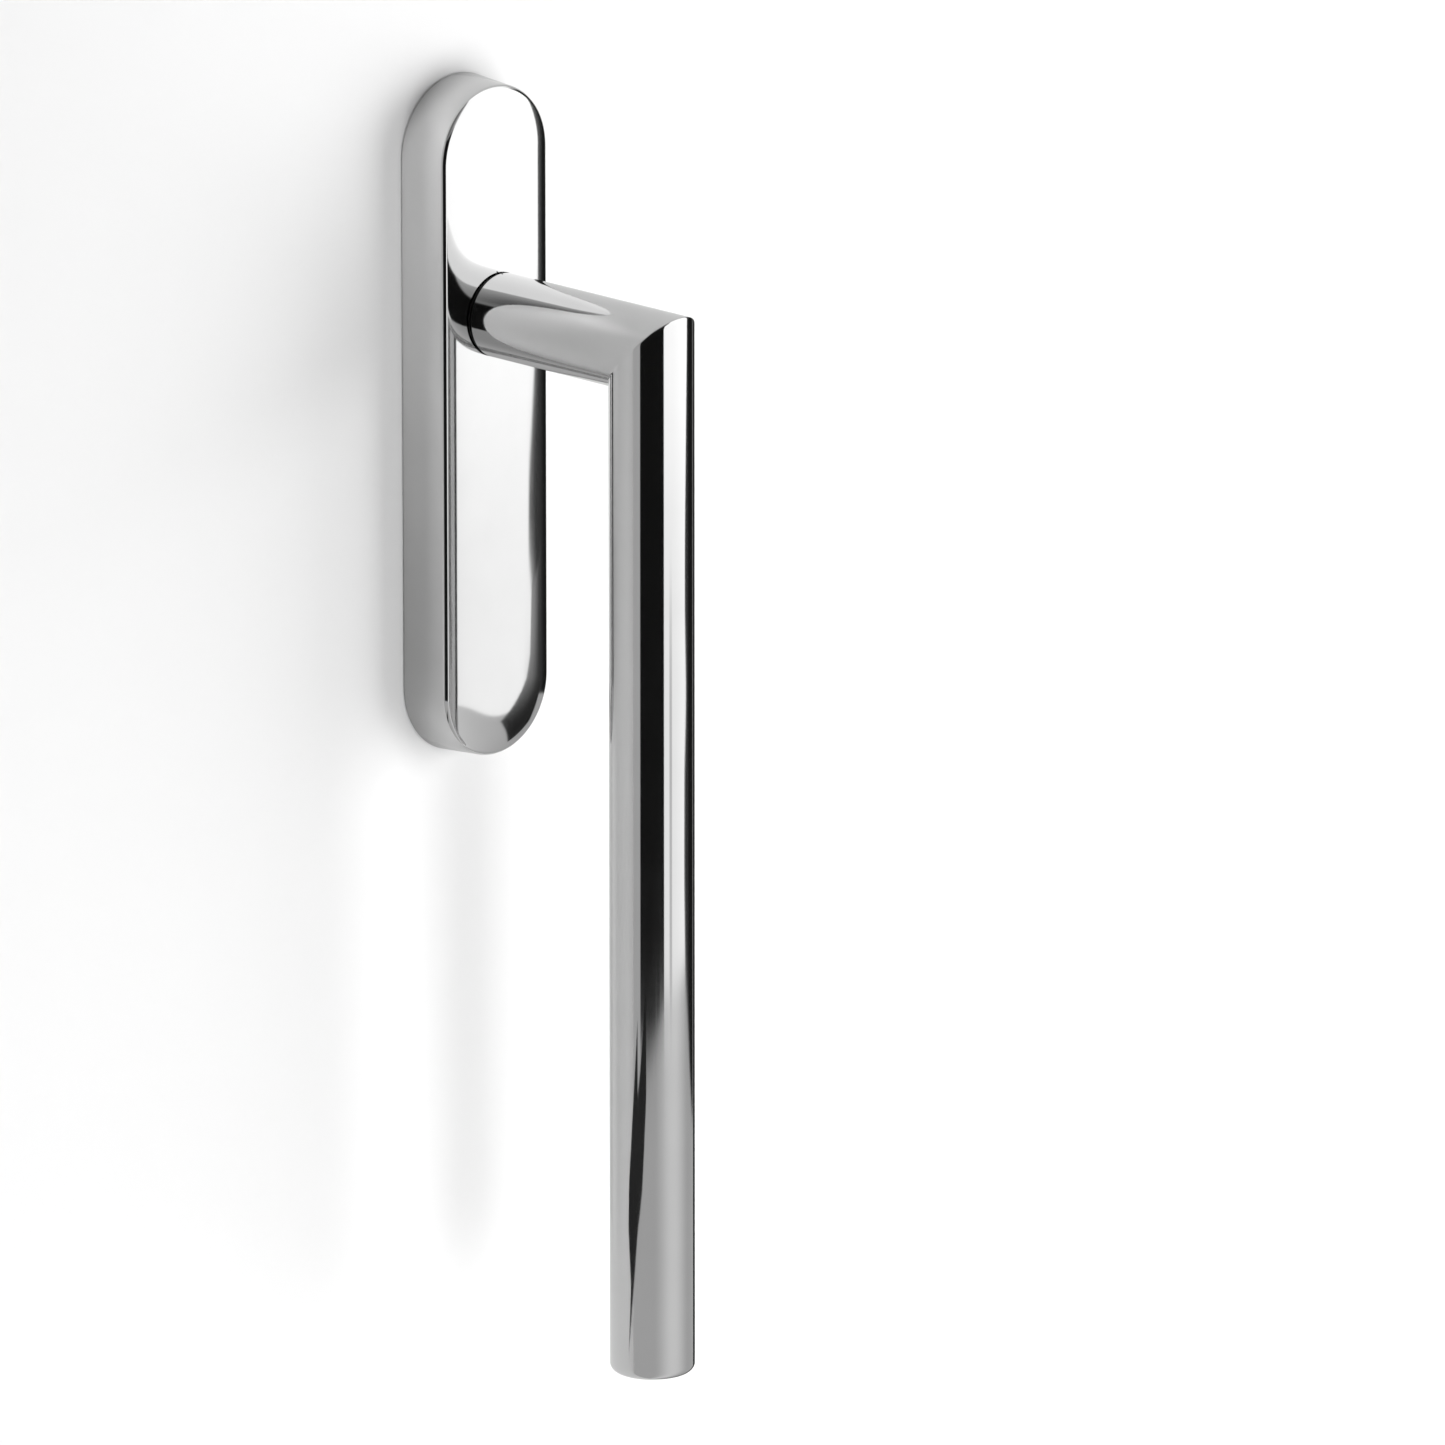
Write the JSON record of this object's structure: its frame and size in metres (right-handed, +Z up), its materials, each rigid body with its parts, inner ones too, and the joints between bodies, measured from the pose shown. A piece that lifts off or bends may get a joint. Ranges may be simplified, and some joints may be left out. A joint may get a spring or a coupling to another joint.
{
  "type": "lift-and-slide door handle",
  "caption": "Round bar lever handle on a mitred neck, turning in a tall crowned oval cover plate, with a square spindle and fixing screws behind.",
  "frame": {"origin": "where the spindle axis meets the door face", "axes": "+Y into the door along the spindle, the handle stands out towards -Y; +Z up; +X to the right seen from the room"},
  "size_m": [0.0358, 0.1143, 0.3017],
  "materials": {
    "polished": "mirror polished stainless steel",
    "die_cast": "as cast, matt",
    "zinc_plated": "zinc plated steel, satin",
    "spring_steel": "hardened strip, bare",
    "black_plastic": "black moulded plastic, matt",
    "bearing_plastic": "natural acetal, matt",
    "gasket": "black sheet, matt"
  },
  "bodies": {
    "base": {"cover_plate": "polished", "base_plate": "die_cast", "door_gasket": "gasket", "bearing_bush": "bearing_plastic", "neck_ring": "black_plastic", "fixing_screw_upper": "zinc_plated", "fixing_screw_lower": "zinc_plated", "cover_clip_upper": "spring_steel", "cover_clip_lower": "spring_steel", "detent_keeper": "zinc_plated", "keeper_screw_upper": "zinc_plated", "keeper_screw_lower": "zinc_plated", "detent_spring_left": "spring_steel", "detent_spring_right": "spring_steel", "thrust_washer": "zinc_plated"},
    "lever": {"grip_tube": "polished", "grip_end_cap": "polished", "neck_tube": "polished", "lever_hub": "zinc_plated", "detent_cam": "zinc_plated", "spindle": "zinc_plated", "spindle_set_screw": "zinc_plated", "retaining_ring": "spring_steel"}
  },
  "joints": [
    {"name": "lever_turn", "type": "hinge", "parent": "base", "child": "lever", "pos_m": [0, 0, 0], "axis": [0, -1, 0], "range_deg": [0, 180], "deforming": ["detent_spring_left", "detent_spring_right"]}
  ]
}
